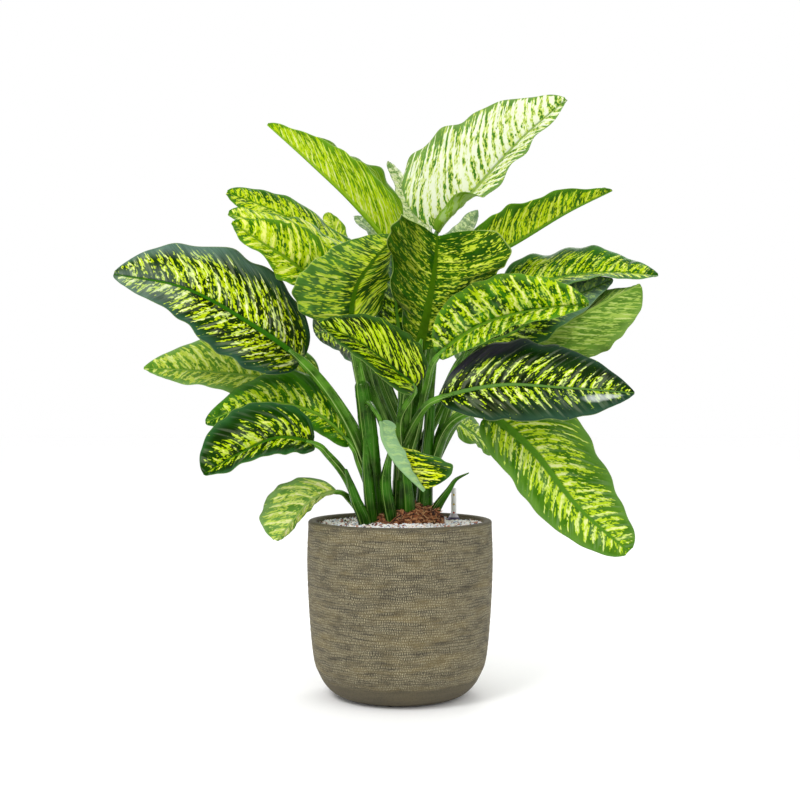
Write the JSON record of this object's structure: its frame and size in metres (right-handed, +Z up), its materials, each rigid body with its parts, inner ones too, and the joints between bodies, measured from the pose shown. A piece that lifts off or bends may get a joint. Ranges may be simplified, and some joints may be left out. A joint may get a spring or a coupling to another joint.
{
  "type": "potted dieffenbachia",
  "caption": "Dieffenbachia with broad variegated leaves on sheathed canes, in a round earth-coloured planter filled with mineral granules, with a water gauge.",
  "frame": {"origin": "centre of the pot's flat foot, on the surface it stands on", "axes": "+Z up through the pot and plant, +X to the right and -Y towards the viewer of the plant's fuller side"},
  "size_m": [0.905, 0.604, 1.0395],
  "materials": {
    "pot": "matt earth-brown composite with fine horizontal strata",
    "granules": "matt mixed mineral granules",
    "coir": "rough coir and bark fibre",
    "clear_tube": "clear plastic tube",
    "collar": "dark violet moulded plastic",
    "float": "red and white moulded plastic",
    "cane": "fleshy green cane and sheath, waxy",
    "leaf": "fleshy green leaf with cream and yellow variegation, waxy"
  },
  "bodies": {
    "root": {"pot": "pot", "granules": "granules", "root_ball": "coir", "gauge_tube": "clear_tube", "gauge_collar": "collar", "gauge_float": "float", "stem_left": "cane", "stem_shoot": "cane", "stem_centre": "cane", "stem_right": "cane", "stem_back": "cane", "leaf_01": "leaf", "leaf_02": "leaf", "leaf_03": "leaf", "leaf_04": "leaf", "leaf_05": "leaf", "leaf_06": "leaf", "leaf_07": "leaf", "leaf_08": "leaf", "leaf_09": "leaf", "leaf_10": "leaf", "leaf_11": "leaf", "leaf_12": "leaf", "leaf_13": "leaf", "leaf_14": "leaf", "leaf_15": "leaf", "leaf_16": "leaf", "leaf_17": "leaf", "leaf_18": "leaf", "leaf_19": "leaf", "leaf_20": "leaf", "leaf_21": "leaf", "leaf_22": "leaf", "leaf_23": "leaf", "leaf_24": "leaf", "leaf_25": "leaf", "leaf_26": "leaf", "leaf_27": "leaf", "leaf_28": "leaf", "leaf_29": "leaf", "leaf_30": "leaf"}
  },
  "joints": []
}
